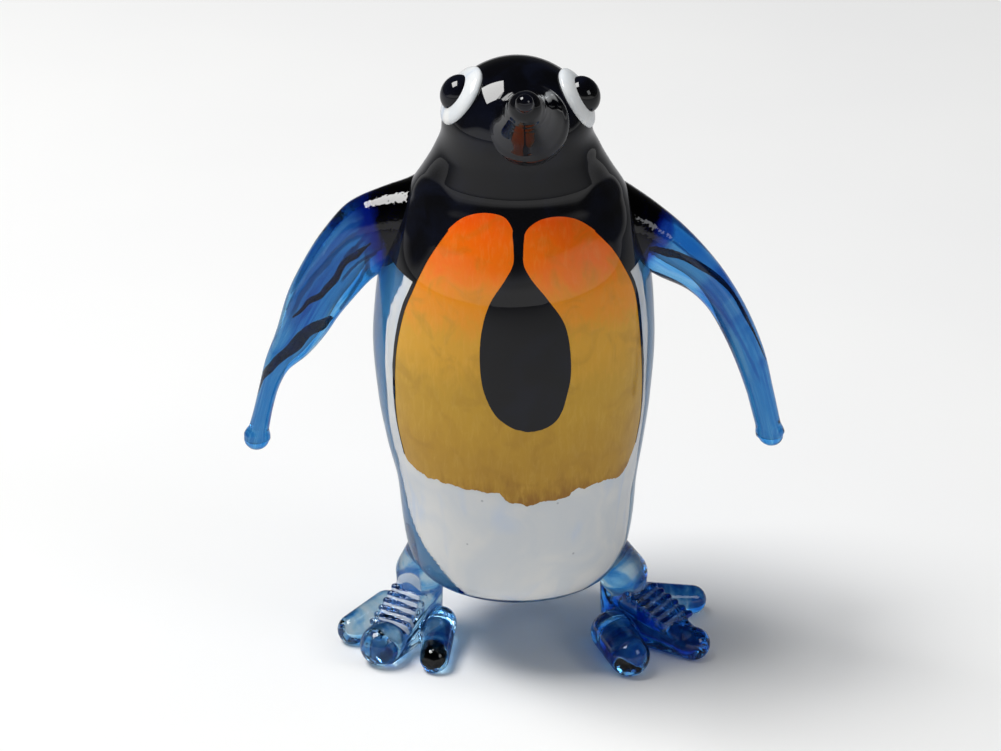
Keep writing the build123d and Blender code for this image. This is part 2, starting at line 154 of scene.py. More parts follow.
# Beak and eyes
beak_length = 6.8 * mm
beak_base_radius = 3.05 * mm
beak_tip_radius = 0.66 * mm
beak_aside = 0.9 * mm
beak_lean = math.radians(2.5)
beak_rise = 1.6 * mm
beak_pitch = math.radians(34)
beak_proud = 1.15 * mm
beak_profile_shares = [
    (-0.34, 0.86), (-0.14, 0.965), (0.00, 1.000), (0.06, 0.990), (0.20, 0.860), (0.40, 0.685), (0.60, 0.540),
    (0.78, 0.420), (0.85, 0.370), (0.90, 0.310), (0.936, 0.250), (0.961, 0.195),
]
beak_ball_start = math.radians(111)
beak_wrinkle_share = 0.009
eye_radius = 2.35 * mm
eye_rise = 0.80 * mm
eye_root = 0.8 * mm
eye_bearing = {"right": math.radians(76), "left": math.radians(82)}
eye_pitch = {"right": math.radians(34), "left": math.radians(29.5)}
pupil_radius = 1.40 * mm
pupil_sink = {"right": 0.42 * mm, "left": 0.22 * mm}
pupil_flatness_share = 0.84

# Flippers: lower edge, upper edge and thickness for each section, with the
# sideways places as shares of the reach past the body's widest place
flipper_thickness = 5.2 * mm
flipper_tip_radius = 0.98 * mm
flipper_tip_share = {"right": 0.352, "left": 0.359}
flipper_neck_share = {"right": 0.80, "left": 0.97}
flipper_map_share = 0.88
flipper_map_name = "along_across"
flipper_shares = {
    "right": [
        (-0.442, 0.640, -0.442, 0.808, 1.55),
        (-0.280, 0.646, -0.280, 0.789, 1.24),
        (-0.164, 0.648, -0.123, 0.778, 1.02),
        (-0.030, 0.632, 0.155, 0.752, 0.86),
        (0.145, 0.592, 0.355, 0.706, 0.74),
        (0.254, 0.563, 0.516, 0.652, 0.64),
        (0.345, 0.534, 0.635, 0.600, 0.56),
        (0.495, 0.497, 0.726, 0.538, 0.48),
        (0.646, 0.470, 0.821, 0.484, 0.42),
        (0.728, 0.436, 0.864, 0.447, 0.38),
        (0.771, 0.404, 0.907, 0.410, 0.36),
    ],
    "left": [
        (-0.442, 0.640, -0.442, 0.806, 1.55),
        (-0.260, 0.644, -0.250, 0.784, 1.24),
        (-0.123, 0.646, -0.102, 0.764, 1.00),
        (0.042, 0.630, 0.174, 0.718, 0.84),
        (0.227, 0.611, 0.394, 0.669, 0.70),
        (0.382, 0.580, 0.563, 0.621, 0.62),
        (0.524, 0.528, 0.734, 0.555, 0.54),
        (0.633, 0.476, 0.846, 0.493, 0.46),
        (0.714, 0.429, 0.913, 0.435, 0.40),
    ],
}

# Threads inside each flipper: start and end along it, the place across it at
# the start, the middle and the end, then breadth and thickness
thread_shares = {
    "stringer_upper_right": (0.26, 0.64, 0.42, 0.43, 0.70, 0.09, 0.10),
    "stringer_lower_right": (0.52, 0.96, 0.14, 0.50, 0.86, 0.24, 0.10),
    "stringer_upper_left": (0.24, 0.90, 0.32, 0.62, 0.88, 0.10, 0.08),
    "stringer_lower_left": (0.24, 0.84, 0.18, 0.17, 0.15, 0.09, 0.10),
}

# Streaks in the flippers: places along and across the blade, half the
# width across, the strength and the colour
flipper_streak_shares = {
    "right": [
        ([(0.20, 0.52), (0.35, 0.55), (0.48, 0.60), (0.60, 0.76)], 0.13, 0.80, (0.005, 0.050, 0.36)),
        ([(0.18, 0.70), (0.264, 0.69), (0.44, 0.76), (0.58, 0.82)], 0.055, 0.80, (0.008, 0.030, 0.10)),
        ([(0.20, 0.90), (0.40, 0.92), (0.60, 0.93), (0.88, 0.95)], 0.085, 0.85, (0.36, 0.68, 0.92)),
        ([(0.22, 0.83), (0.27, 0.86), (0.34, 0.86), (0.38, 0.84)], 0.025, 0.85, (0.62, 0.82, 0.98)),
        ([(0.25, 0.30), (0.30, 0.18), (0.36, 0.12), (0.42, 0.08)], 0.05, 0.92, (0.004, 0.010, 0.040)),
        ([(0.16, 0.42), (0.22, 0.39), (0.30, 0.39), (0.36, 0.39)], 0.03, 0.92, (0.004, 0.010, 0.050)),
        ([(0.40, 0.20), (0.50, 0.12), (0.56, 0.08), (0.62, 0.05)], 0.07, 0.55, (0.60, 0.78, 0.92)),
        ([(0.84, 0.06), (0.87, 0.05), (0.90, 0.05), (0.93, 0.06)], 0.07, 0.80, (0.010, 0.020, 0.30)),
    ],
    "left": [
        ([(0.24, 0.88), (0.40, 0.88), (0.54, 0.92), (0.66, 0.97)], 0.13, 0.80, (0.008, 0.100, 0.56)),
        ([(0.26, 0.72), (0.32, 0.76), (0.40, 0.78), (0.48, 0.80)], 0.022, 0.85, (0.004, 0.024, 0.16)),
        ([(0.24, 0.22), (0.36, 0.26), (0.50, 0.32), (0.84, 0.28)], 0.11, 0.75, (0.26, 0.55, 0.82)),
        ([(0.46, 0.30), (0.56, 0.36), (0.66, 0.47), (0.84, 0.60)], 0.07, 0.85, (0.008, 0.090, 0.48)),
        ([(0.24, 0.03), (0.40, 0.02), (0.60, 0.02), (0.86, 0.03)], 0.045, 0.80, (0.010, 0.050, 0.62)),
        ([(0.270, 0.36), (0.285, 0.50), (0.305, 0.68), (0.320, 0.82)], 0.02, 0.35, (0.30, 0.62, 0.90)),
    ],
}
flipper_black_shares = {"right": (0.185, 0.215, 0.02), "left": (0.200, 0.235, 0.07)}
flipper_cobalt_shares = {"right": (0.215, 0.275), "left": (0.230, 0.262)}

# Legs and feet, measured as in the CAD model
leg_sink = 4.4 * mm
leg_bend_share = 0.854
leg_top_radius = 1.5 * mm
leg_bend_radius = 1.9 * mm
heel_radius = 1.75 * mm
leg_top_inset = 5.0 * mm
leg_top_forward = 1.6 * mm
sole_press = 0.14 * mm
pad_rear_width = 3.7 * mm
pad_front_width_share = 1.7
pad_rear_height = 4.7 * mm
pad_front_height = 2.0 * mm
pad_rounding = 0.75 * mm
rib_count = 6
rib_pitch = 0.72 * mm
rib_radius = 0.30 * mm
rib_length = 2.7 * mm
rib_rise = 0.10 * mm
rib_skew = math.radians(16)
foot_length = {"right": 6.0 * mm, "left": 6.7 * mm}
foot_turn = {"right": math.radians(29), "left": math.radians(53)}
heel_inset = {"right": 3.3 * mm, "left": 2.0 * mm}
heel_back = {"right": 0.5 * mm, "left": 0.1 * mm}
middle_toe_radius = {"right": 1.65 * mm, "left": 1.3 * mm}
toe_place_shares = {
    ("right", "outer"): (0.12, 0.44, 0.72, 0.60, 1.00),
    ("right", "inner"): (0.10, -0.36, 0.84, -0.70, 0.85),
    ("left", "outer"): (-0.02, 0.42, 0.38, 0.89, 1.15),
    ("left", "inner"): (0.14, -0.42, 0.61, -0.74, 1.15),
}
toe_radii = {
    ("right", "outer"): (1.25 * mm, 1.20 * mm),
    ("right", "inner"): (1.30 * mm, 1.15 * mm),
    ("left", "outer"): (1.45 * mm, 1.15 * mm),
    ("left", "inner"): (1.65 * mm, 1.60 * mm),
}
foot_voxel = 0.11 * mm

# The blue ground between the ribs, whose white bars are painted highlights: it fades in over these depths
rib_field_low = -0.75 * mm
rib_field_high = -0.40 * mm
# How strongly each foot's ribs get painted white highlights
rib_highlight_share = {"right": 0.85, "left": 0.30}
seam_width = 0.28 * mm

# How deep in colour each gather of a foot is, from pale to cobalt
gather_depth_shares = {
    "right": {"leg": 0.20, "pad": 0.22, "outer": 0.20, "middle": 0.34, "inner": 0.44},
    "left": {"leg": 0.34, "pad": 0.84, "outer": 0.62, "middle": 0.80, "inner": 0.46},
}

# Tail
tail_root_radius = 2.0 * mm
tail_tip_radius = 0.7 * mm
tail_root_rise = 3.5 * mm
tail_tip_drop = 0.9 * mm
tail_root_inset = 3.0 * mm

# Glass: how far fine relief stands out, how deep light glows in the white, and
# the heights between which the casing gets deeper in colour
glass_ior = 1.5
clear_roughness = 0.012
black_relief = 0.02 * mm
white_relief = 0.05 * mm
orange_relief = 0.02 * mm
shoulder_relief = 0.12 * mm
white_glow_depths = (1.2 * mm, 1.3 * mm, 1.4 * mm)
casing_deeper_low = 20 * mm
casing_deeper_high = 33 * mm
foot_tint = (0.30, 0.72, 0.97)
foot_density = 60.0

# Table and camera
table_radius = 900 * mm
camera_distance = 240 * mm
camera_height_angle = math.radians(25)
camera_target = Vector((-0.995 * mm, 0, 22.2 * mm))
lens_length = 113.93
sensor_width = 36.0
view_start = 10 * mm
view_end = 10000 * mm

# Lamps: the way to each, its distance, width, height, power and colour
lamps = {
    "window": ((-0.46, 0.03, 0.88), 500 * mm, 270 * mm, 220 * mm, 2.5, (1.0, 0.995, 0.985)),
    "fill_right": ((0.75, -0.45, 0.55), 600 * mm, 200 * mm, 200 * mm, 0.35, (0.96, 0.98, 1.0)),
}


# Curves and tables

def table_value(rows, place):
    """The values of a table at a place, on smooth curves through its rows."""
    if place <= rows[0][0]:
        return rows[0][1:]
    if place >= rows[-1][0]:
        return rows[-1][1:]
    last = len(rows) - 1
    number = next(row for row in range(last) if place <= rows[row + 1][0])
    step = rows[number + 1][0] - rows[number][0]
    part = (place - rows[number][0]) / step
    values = []
    for column in range(1, len(rows[0])):
        steps = []
        for row in (number - 1, number, number + 1):
            low = max(0, min(row, last - 1))
            steps.append((rows[low + 1][column] - rows[low][column]) / (rows[low + 1][0] - rows[low][0]))
        ends = []
        for first, second in ((steps[0], steps[1]), (steps[1], steps[2])):
            ends.append(2 * first * second / (first + second) if first * second > 0 else 0)
        start = rows[number][column]
        end = rows[number + 1][column]
        bend = part * part * (3 - 2 * part)
        value = start + (end - start) * bend
        value += step * ends[0] * part * (1 - part) ** 2
        value -= step * ends[1] * part * part * (1 - part)
        values.append(value)
    return tuple(values)


def smooth(low, high, value):
    """Nothing below low, 1 above high and a soft step between."""
    part = max(0.0, min(1.0, (value - low) / (high - low)))
    return part * part * (3 - 2 * part)


def curve_through(points, closed):
    """Points every boundary step or so along a smooth curve through vectors."""
    count = len(points)
    spans = count if closed else count - 1
    line = []
    for number in range(spans):
        if closed:
            before, start, end, after = (points[(number + shift) % count] for shift in (-1, 0, 1, 2))
        else:
            before = points[max(number - 1, 0)]
            start, end = points[number], points[number + 1]
            after = points[min(number + 2, count - 1)]
        parts = max(2, round((end - start).length / boundary_step))
        pairs = ((before, start), (start, end), (end, after))
        gaps = [max((b - a).length, boundary_step / 4) ** 0.5 for a, b in pairs]
        for part in range(parts):
            share = part / parts
            leave = (start - before) / gaps[0] - (end - before) / (gaps[0] + gaps[1])
            leave = (leave + (end - start) / gaps[1]) * gaps[1]
            arrive = (end - start) / gaps[1] - (after - start) / (gaps[1] + gaps[2])
            arrive = (arrive + (after - end) / gaps[2]) * gaps[1]
            cube, square = share**3, share**2
            point = start * (2 * cube - 3 * square + 1) + leave * (cube - 2 * square + share)
            point = point + end * (3 * square - 2 * cube) + arrive * (cube - square)
            line.append(point)
    if not closed:
        line.append(points[-1].copy())
    return line


# The body's surface, by the turn round it from the front and the height

def head_section(height):
    """Half width, front, back and sideways place of the head's ball."""
    rise = height - head_centre.z
    rise = rise / crown_share if rise > 0 else rise
    radius = math.sqrt(max(head_radius**2 - rise**2, 0))
    return radius, radius + head_forward, radius - head_forward, head_aside


section_scales = (figure_height, body_width, body_depth, body_depth, body_width)
section_rows = [tuple(a * b for a, b in zip(row, section_scales)) for row in body_section_shares]
for share in head_row_shares:
    section_rows.append((share * figure_height,) + head_section(share * figure_height))


def section(height):
    """Half width, front, back and sideways place of the body at a height."""
    if height >= head_start_share * figure_height:
        return head_section(height)
    return table_value(section_rows, height)


def bare_point(turn, height):
    """A point of the body's surface."""
    width, front, back, aside = section(height)
    depth = (front + back) / 2
    return Vector((aside + width * math.sin(turn), (back - front) / 2 - depth * math.cos(turn), height))


def surface(turn, height):
    """A point of the body's surface and the way out of it."""
    point = bare_point(turn, height)
    if height > head_centre.z:
        away = point - head_centre
        away.z /= crown_share**2
        return point, away.normalized()
    turn_step = slope_step / half_width
    along = bare_point(turn + turn_step, height) - bare_point(turn - turn_step, height)
    upward = bare_point(turn, height + slope_step) - bare_point(turn, height - slope_step)
    return point, along.cross(upward).normalized()


def lifted(turn, height, lift):
    """A point above the body's surface by lift."""
    point, out = surface(turn, height)
    return point + out * lift


def turn_at(aside, height):
    """The turn at which the front of the body has a sideways place."""
    width, front, back, middle = section(height)
    return math.asin(max(-0.999, min(0.999, (aside - middle) / width)))


def past_belly(turn, height):
    """How far a place lies outside the white front, negative inside it."""
    share = height / figure_height
    right = turn_at(table_value(belly_rows["right"], share)[0] * body_width, height)
    left = turn_at(table_value(belly_rows["left"], share)[0] * body_width, height)
    width = section(height)[0]
    low = belly_rows["right"][0][0] * figure_height
    return max((right - turn) * width, (turn - left) * width, low - height)


belly_rows = {"right": belly_right_shares[::-1], "left": belly_left_shares[::-1]}


def casing_wall(turn, height):
    """Thickness of the clear casing over the white core."""
    side = math.sin(turn)
    wall = casing_wall_left if side > 0 else casing_wall_right
    back = smooth(0, 1, -math.cos(turn))
    wall = wall + (casing_wall_back - wall) * back
    return wall * smooth(0, casing_fade, past_belly(turn, height))


# Meshes

def new_piece(name, points, faces):
    """A smooth-shaded object from points and faces."""
    mesh = bpy.data.meshes.new(name)
    mesh.from_pydata([tuple(point) for point in points], [], faces)
    mesh.validate()
    mesh.update()
    mesh.polygons.foreach_set("use_smooth", [True] * len(mesh.polygons))
    piece = bpy.data.objects.new(name, mesh)
    bpy.context.scene.collection.objects.link(piece)
    return piece


def outward(piece):
    """The piece with every face turned to look outward."""
    work = bmesh.new()
    work.from_mesh(piece.data)
    bmesh.ops.recalc_face_normals(work, faces=work.faces)
    work.to_mesh(piece.data)
    work.free()
    return piece


def solid_piece(name, points, faces):
    """A closed piece whose faces look outward."""
    return outward(new_piece(name, points, faces))


def shell(name, outer, inner, faces):
    """A closed shell between an outer and an inner layer of the same faces."""
    count = len(outer)
    edges = [edge for face in faces for edge in zip(face, face[1:] + face[:1])]
    used = set(edges)
    rim = [(start, end) for start, end in edges if (end, start) not in used]
    walls = [(end, start, start + count, end + count) for start, end in rim]
    backs = [tuple(corner + count for corner in reversed(face)) for face in faces]
    piece = new_piece(name, outer + inner, faces + backs + walls)
    mesh = piece.data
    keys = {tuple(sorted(edge)) for edge in rim}
    keys |= {(start + count, end + count) for start, end in keys}
    sharp = [tuple(sorted(edge.vertices)) in keys for edge in mesh.edges]
    attribute = mesh.attributes.new("sharp_edge", "BOOLEAN", "EDGE")
    attribute.data.foreach_set("value", sharp)
    work = bmesh.new()
    work.from_mesh(mesh)
    loose = [point for point in work.verts if not point.link_faces]
    bmesh.ops.delete(work, geom=loose, context="VERTS")
    work.to_mesh(mesh)
    work.free()
    return piece


def grid_faces(rows, count, keep=lambda row, column: True):
    """Faces of a grid that closes round, for the places that keep allows."""
    faces = []
    for row in range(rows - 1):
        for column in range(count):
            after = (column + 1) % count
            if keep(row, column):
                first = row * count
                second = first + count
                faces.append((first + column, first + after, second + after, second + column))
    return faces


def tube(rings, start_point=None, end_point=None):
    """Points and faces of a tube through rings of points, with its ends closed."""
    count = len(rings[0])
    points = [point for ring in rings for point in ring]
    faces = grid_faces(len(rings), count)
    last = (len(rings) - 1) * count
    for point, first, back in ((start_point, 0, True), (end_point, last, False)):
        if point is None:
            loop = tuple(first + column for column in range(count))
            faces.append(loop[::-1] if back else loop)
            continue
        points.append(point)
        pole = len(points) - 1
        for column in range(count):
            edge = (first + column, first + (column + 1) % count)
            faces.append((edge[1], edge[0], pole) if back else (edge[0], edge[1], pole))
    return points, faces


def oval(centre, wide, deep, count):
    """A ring of points round a centre, between two half axes."""
    ring = []
    for number in range(count):
        turn = 2 * math.pi * number / count
        ring.append(centre + wide * math.cos(turn) + deep * math.sin(turn))
    return ring


def turned(origin, axis, profile, count):
    """Points and faces of a profile of (along, radius) turned round an axis."""
    axis = axis.normalized()
    side = axis.orthogonal().normalized()
    other = axis.cross(side)
    rings = []
    for along, radius in profile[1:-1]:
        rings.append(oval(origin + axis * along, side * radius, other * radius, count))
    return tube(rings, origin + axis * profile[0][0], origin + axis * profile[-1][0])


def drop(start, end, start_radius, end_radius, count=28, parts=9):
    """Points and faces of a drawn-out drop between two round ends."""
    axis = end - start
    length = axis.length
    lean = math.acos(max(-1.0, min(1.0, (start_radius - end_radius) / length)))
    profile = []
    for number in range(parts + 1):
        turn = math.pi - (math.pi - lean) * number / parts
        profile.append((start_radius * math.cos(turn), start_radius * math.sin(turn)))
    for number in range(parts + 1):
        turn = lean * (1 - number / parts)
        profile.append((length + end_radius * math.cos(turn), end_radius * math.sin(turn)))
    return turned(start, axis, profile, count)


def joined(parts):
    """Several lists of points and faces as one."""
    points = []
    faces = []
    for more_points, more_faces in parts:
        shift = len(points)
        points += more_points
        faces += [tuple(corner + shift for corner in face) for face in more_faces]
    return points, faces


def fused(name, parts, voxel, passes):
    """Overlapping closed forms melted into one smooth piece."""
    points, faces = joined(parts)
    raw = solid_piece(name + "_raw", points, faces)
    remesh = raw.modifiers.new("melt", "REMESH")
    remesh.mode = "VOXEL"
    remesh.voxel_size = voxel
    remesh.use_smooth_shade = True
    soften = raw.modifiers.new("soften", "SMOOTH")
    soften.factor = 0.5
    soften.iterations = passes
    bpy.context.view_layer.update()
    graph = bpy.context.evaluated_depsgraph_get()
    mesh = bpy.data.meshes.new_from_object(raw.evaluated_get(graph))
    mesh.name = name
    bpy.data.objects.remove(raw)
    piece = bpy.data.objects.new(name, mesh)
    bpy.context.scene.collection.objects.link(piece)
    return piece


# Pieces of the body

bottom_height = body_section_shares[0][0] * figure_height
core_top_height = neck_start_share * figure_height


def body_heights():
    """Heights from the underside to the neck, closer together near the underside."""
    rise = core_top_height - bottom_height
    return [bottom_height + rise * (number / (core_rows - 1)) ** 1.35 for number in range(core_rows)]


def turns():
    """The turns of the grid's columns."""
    return [2 * math.pi * number / turn_count - math.pi for number in range(turn_count)]


def make_core():
    """The white core: at the surface in front and under the casing elsewhere."""
    rings = []
    for height in body_heights():
        ring = []
        for turn in turns():
            sunk = casing_wall(turn, height)
            edge = edge_height(turn)
            covered = smooth(edge, edge + 2 * hood_bed, height)
            sunk = sunk + (max(sunk, hood_bed) - sunk) * covered
            ring.append(lifted(turn, height, -sunk))
        rings.append(ring)
    low = sum(rings[0], Vector()) / turn_count
    high = sum(rings[-1], Vector()) / turn_count
    points, faces = tube(rings, low, high)
    return solid_piece("core_glass", points, faces)


def edge_height(turn):
    """The height of the black collar's lower edge round the body."""
    height = collar_edge_share * figure_height
    for again in range(6):
        height = collar_edge_share * figure_height + math.tan(collar_edge_tilt) * bare_point(turn, height).y
    return height


def make_casing():
    """The clear blue casing: a shell over the sides, the back and the underside."""
    heights = body_heights()
    outer = []
    inner = []
    distance = []
    for height in heights:
        for turn in turns():
            past = past_belly(turn, height)
            distance.append(past if height < edge_height(turn) + casing_overlap else -1)
            sink = casing_edge_sink * (1 - smooth(-casing_edge_inside, casing_edge_outside, past))
            outer.append(lifted(turn, height, -sink))
            inner.append(lifted(turn, height, -casing_wall(turn, height) - casing_overlap - sink))

    def keep(row, column):
        after = (column + 1) % turn_count
        corners = [row * turn_count + column, row * turn_count + after]
        corners += [corner + turn_count for corner in corners]
        return max(distance[corner] for corner in corners) > -casing_edge_reach

    faces = grid_faces(len(heights), turn_count, keep)
    outer.append(sum(outer[:turn_count], Vector()) / turn_count)
    inner.append(sum(inner[:turn_count], Vector()) / turn_count + Vector((0, 0, casing_overlap)))
    pole = len(outer) - 1
    faces += [((column + 1) % turn_count, column, pole) for column in range(turn_count)]
    return shell("casing_glass", outer, inner, faces)


def make_hood():
    """The black gather over the head, the neck and the shoulders."""
    neck_height = neck_start_share * figure_height
    head_height = head_start_share * figure_height
    rows = []
    low_rows, neck_rows, crown_rows = 34, 30, 26
    columns = turns()
    edges = [edge_height(turn) for turn in columns]
    for row in range(low_rows):
        share = (row / low_rows) ** 1.2
        rows.append([edge + (neck_height - edge) * share for edge in edges])
    for row in range(neck_rows):
        rows.append([neck_height + (head_height - neck_height) * row / neck_rows] * turn_count)
    first = math.asin((head_height - head_centre.z) / (head_radius * crown_share))
    for row in range(crown_rows):
        rise = first + (math.pi / 2 - first) * row / crown_rows
        rows.append([head_centre.z + head_radius * crown_share * math.sin(rise)] * turn_count)
    outer = []
    inner = []
    for row in rows:
        for turn, height in zip(columns, row):
            outer.append(lifted(turn, height, skin_lift / 2))
            inner.append(lifted(turn, height, -hood_depth))
    faces = grid_faces(len(rows), turn_count)
    crown = head_centre + Vector((0, 0, head_radius * crown_share))
    outer.append(crown + Vector((0, 0, skin_lift / 2)))
    inner.append(crown - Vector((0, 0, hood_depth)))
    pole = len(outer) - 1
    last = (len(rows) - 1) * turn_count
    faces += [(last + column, last + (column + 1) % turn_count, pole) for column in range(turn_count)]
    return shell("hood_glass", outer, inner, faces)


def even(line, closed):
    """The same line with points an even boundary step apart."""
    loop = line + [line[0]] if closed else line
    total = sum((b - a).length for a, b in zip(loop, loop[1:]))
    count = max(8, round(total / boundary_step))
    gap = total / count
    result = []
    run = 0.0
    target = 0.0
    for start, end in zip(loop, loop[1:]):
        length = (end - start).length
        while target <= run + length and len(result) < count:
            share = (target - run) / length if length else 0
            result.append(start + (end - start) * share)
            target += gap
        run += length
    if not closed:
        result.append(line[-1].copy())
    return result


def front_line(shares, closed):
    """An even, smooth line on the body through shares, as (turn, height) scaled to lengths."""
    points = [Vector((aside * body_width, height * figure_height)) for aside, height in shares]
    line = curve_through(points, closed)
    return even([Vector((turn_at(point.x, point.y) * half_width, point.y)) for point in line], closed)


def ragged(line, strength, below):
    """The same outline with the brushed, uneven edge that enamel has."""
    result = []
    for point in line:
        share = smooth(0.0, 0.03, below - point.y / figure_height)
        place = Vector((point.x, point.y, 0)) / mm
        coarse = noise.noise(place * 1.1) + 0.55 * noise.noise(place * 2.7)
        fine = 0.30 * noise.noise(place * 7.0)
        result.append(point + Vector((0, 1)) * (coarse + fine) * strength * share)
    return result


def patch(name, line, lift, depth):
    """A thin closed tile of glass on the body inside a closed line."""
    inside = grid_step / 3
    xs = [point.x for point in line]
    ys = [point.y for point in line]
    points = [point.copy() for point in line]
    rows = int((max(ys) - min(ys)) / grid_step) + 1
    columns = int((max(xs) - min(xs)) / grid_step) + 1
    for row in range(rows):
        level = min(ys) + (row + 0.5) * grid_step
        crossings = []
        for start, end in zip(line, line[1:] + line[:1]):
            if (start.y > level) != (end.y > level):
                crossings.append(start.x + (end.x - start.x) * (level - start.y) / (end.y - start.y))
        crossings.sort()
        for column in range(columns + 1):
            across = min(xs) + (column + 0.5 * (row % 2)) * grid_step
            if sum(1 for crossing in crossings if crossing < across) % 2 == 0:
                continue
            place = Vector((across, level))
            if min((place - point).length_squared for point in line) > inside**2:
                points.append(place)
    count = len(line)
    edges = [(number, (number + 1) % count) for number in range(count)]
    flat, found, faces = delaunay_2d_cdt([point / mm for point in points], edges, [], 1, 0.001)[:3]
    outer = []
    inner = []
    for place in flat:
        turn = place.x * mm / half_width
        height = place.y * mm
        outer.append(lifted(turn, height, lift))
        inner.append(lifted(turn, height, -depth))
    tiles = []
    for face in faces:
        first, second, third = (flat[corner] for corner in face)
        side = (second - first).x * (third - first).y - (second - first).y * (third - first).x
        tiles.append(tuple(face) if side > 0 else tuple(reversed(face)))
    return shell(name, outer, inner, tiles)


def make_chest():
    """The orange lobes, the black drop and the thin lines beside the lobes."""
    pieces = {}
    for side, shares in (("right", lobe_right_shares), ("left", lobe_left_shares)):
        line = ragged(front_line(shares, True), lobe_ragged_depth, lobe_ragged_height_share)
        lift = skin_lift if side == "right" else skin_lift * 1.15
        pieces["chest_lobe_" + side] = patch("chest_lobe_glass_" + side, line, lift, skin_depth)
    line = ragged(front_line(drop_shares, True), drop_ragged_depth, drop_ragged_height_share)
    pieces["chest_drop"] = patch("chest_drop_glass", line, 2 * skin_lift, skin_depth)
    for side, shares in (("right", side_line_right_shares), ("left", side_line_left_shares)):
        middle = front_line(shares, False)
        last = len(middle) - 1
        near = []
        far = []
        for number, point in enumerate(middle):
            along = (middle[min(number + 1, last)] - middle[max(number - 1, 0)]).normalized()
            across = Vector((along.y, -along.x)) * (-OUTWARD[side] if along.y < 0 else OUTWARD[side])
            place = number / last
            width = side_line_width * (0.25 + 0.85 * math.sin(math.pi * min(1.0, place + 0.12)) ** 0.8)
            width *= 1 + 0.18 * noise.noise(Vector((0, point.y / mm, 3)))
            near.append(point - across * width * 0.35)
            far.append(point + across * width * 0.75)
        line = near + far[::-1]
        pieces["side_line_" + side] = patch("side_line_glass_" + side, line, 2.2 * skin_lift, skin_depth)
    return pieces


# Pieces of the head

def make_beak():
    """The swelling on the face that draws out to a cone with a small ball."""
    shank = beak_length - beak_tip_radius
    base, ahead = beak_axis()
    profile = []
    steps = 70
    first = beak_profile_shares[0][0]
    for number in range(steps + 1):
        along = first + (beak_profile_shares[-1][0] - first) * number / steps
        radius = table_value(beak_profile_shares, along)[0]
        profile.append((along * shank, radius * beak_base_radius))
    steps = 22
    for number in range(1, steps + 1):
        turn = beak_ball_start * (1 - number / steps)
        radius = beak_tip_radius * math.sin(turn)
        profile.append((shank + beak_tip_radius * math.cos(turn), radius))
    profile = [(first * shank - grid_step, 0.0)] + profile
    points, faces = turned(base, ahead, profile, 96)
    wrinkled = []
    for point in points:
        along = (point - base).dot(ahead)
        middle = base + ahead * along
        share = smooth(0.45 * shank, 0.85 * shank, along) * (1 - smooth(shank, beak_length, along))
        place = Vector((point.x / mm, point.z / mm, along / mm * 3.0))
        wrinkled.append(middle + (point - middle) * (1 + 2 * beak_wrinkle_share * share * noise.noise(place)))
    return solid_piece("beak_glass", wrinkled, faces)


def beak_axis():
    """The middle of the beak's base and the way the beak points."""
    shank = beak_length - beak_tip_radius
    base_forward = body_depth / 2 + beak_proud - beak_tip_radius - shank * math.cos(beak_pitch)
    base = Vector((beak_aside, -base_forward, head_centre.z + beak_rise))
    level = math.cos(beak_pitch)
    ahead = Vector((-level * math.sin(beak_lean), -level * math.cos(beak_lean), math.sin(beak_pitch)))
    return base, ahead


def eye_direction(side):
    """The way an eye looks from the middle of the head."""
    level = math.cos(eye_pitch[side])
    aside = OUTWARD[side] * level * math.sin(eye_bearing[side])
    return Vector((aside, -level * math.cos(eye_bearing[side]), math.sin(eye_pitch[side])))


def make_eye(side):
    """A white button of glass and the black bead on it."""
    out = eye_direction(side)
    rim = math.sqrt(head_radius**2 - eye_radius**2)
    profile = [(rim - eye_root, 0.0), (rim - eye_root, 0.8 * eye_radius)]
    profile.append((rim - eye_root / 8, 0.99 * eye_radius))
    steps = 20
    for number in range(steps):
        turn = math.pi / 2 * number / steps
        wide = eye_radius * math.cos(turn)
        profile.append((rim + eye_rise * math.sin(turn), wide))
    profile.append((rim + eye_rise, 0.0))
    points, faces = turned(head_centre, out, profile, 72)
    white = solid_piece("eye_white_glass_" + side, points, faces)
    centre = rim + eye_rise - pupil_sink[side]
    profile = []
    steps = 26
    for number in range(steps + 1):
        turn = math.pi * (1 - number / steps)
        depth = pupil_radius * pupil_flatness_share * math.cos(turn)
        profile.append((centre + depth, pupil_radius * math.sin(turn)))
    points, faces = turned(head_centre, out, profile, 56)
    return white, solid_piece("eye_pupil_glass_" + side, points, faces)


# Flippers and the threads inside them

def flipper_place(side, along):
    """Lower point, upper point and thickness of a flipper at a place along it."""
    rows = flipper_shares[side]
    last = len(rows) - 1
    table = [(number / last,) + row for number, row in enumerate(rows)]
    low_aside, low_height, high_aside, high_height, thickness = table_value(table, along)
    reach = half_span - half_width
    low = Vector((OUTWARD[side] * (half_width + low_aside * reach), 0, low_height * figure_height))
    high = Vector((OUTWARD[side] * (half_width + high_aside * reach), 0, high_height * figure_height))
    return low, high, thickness * flipper_thickness


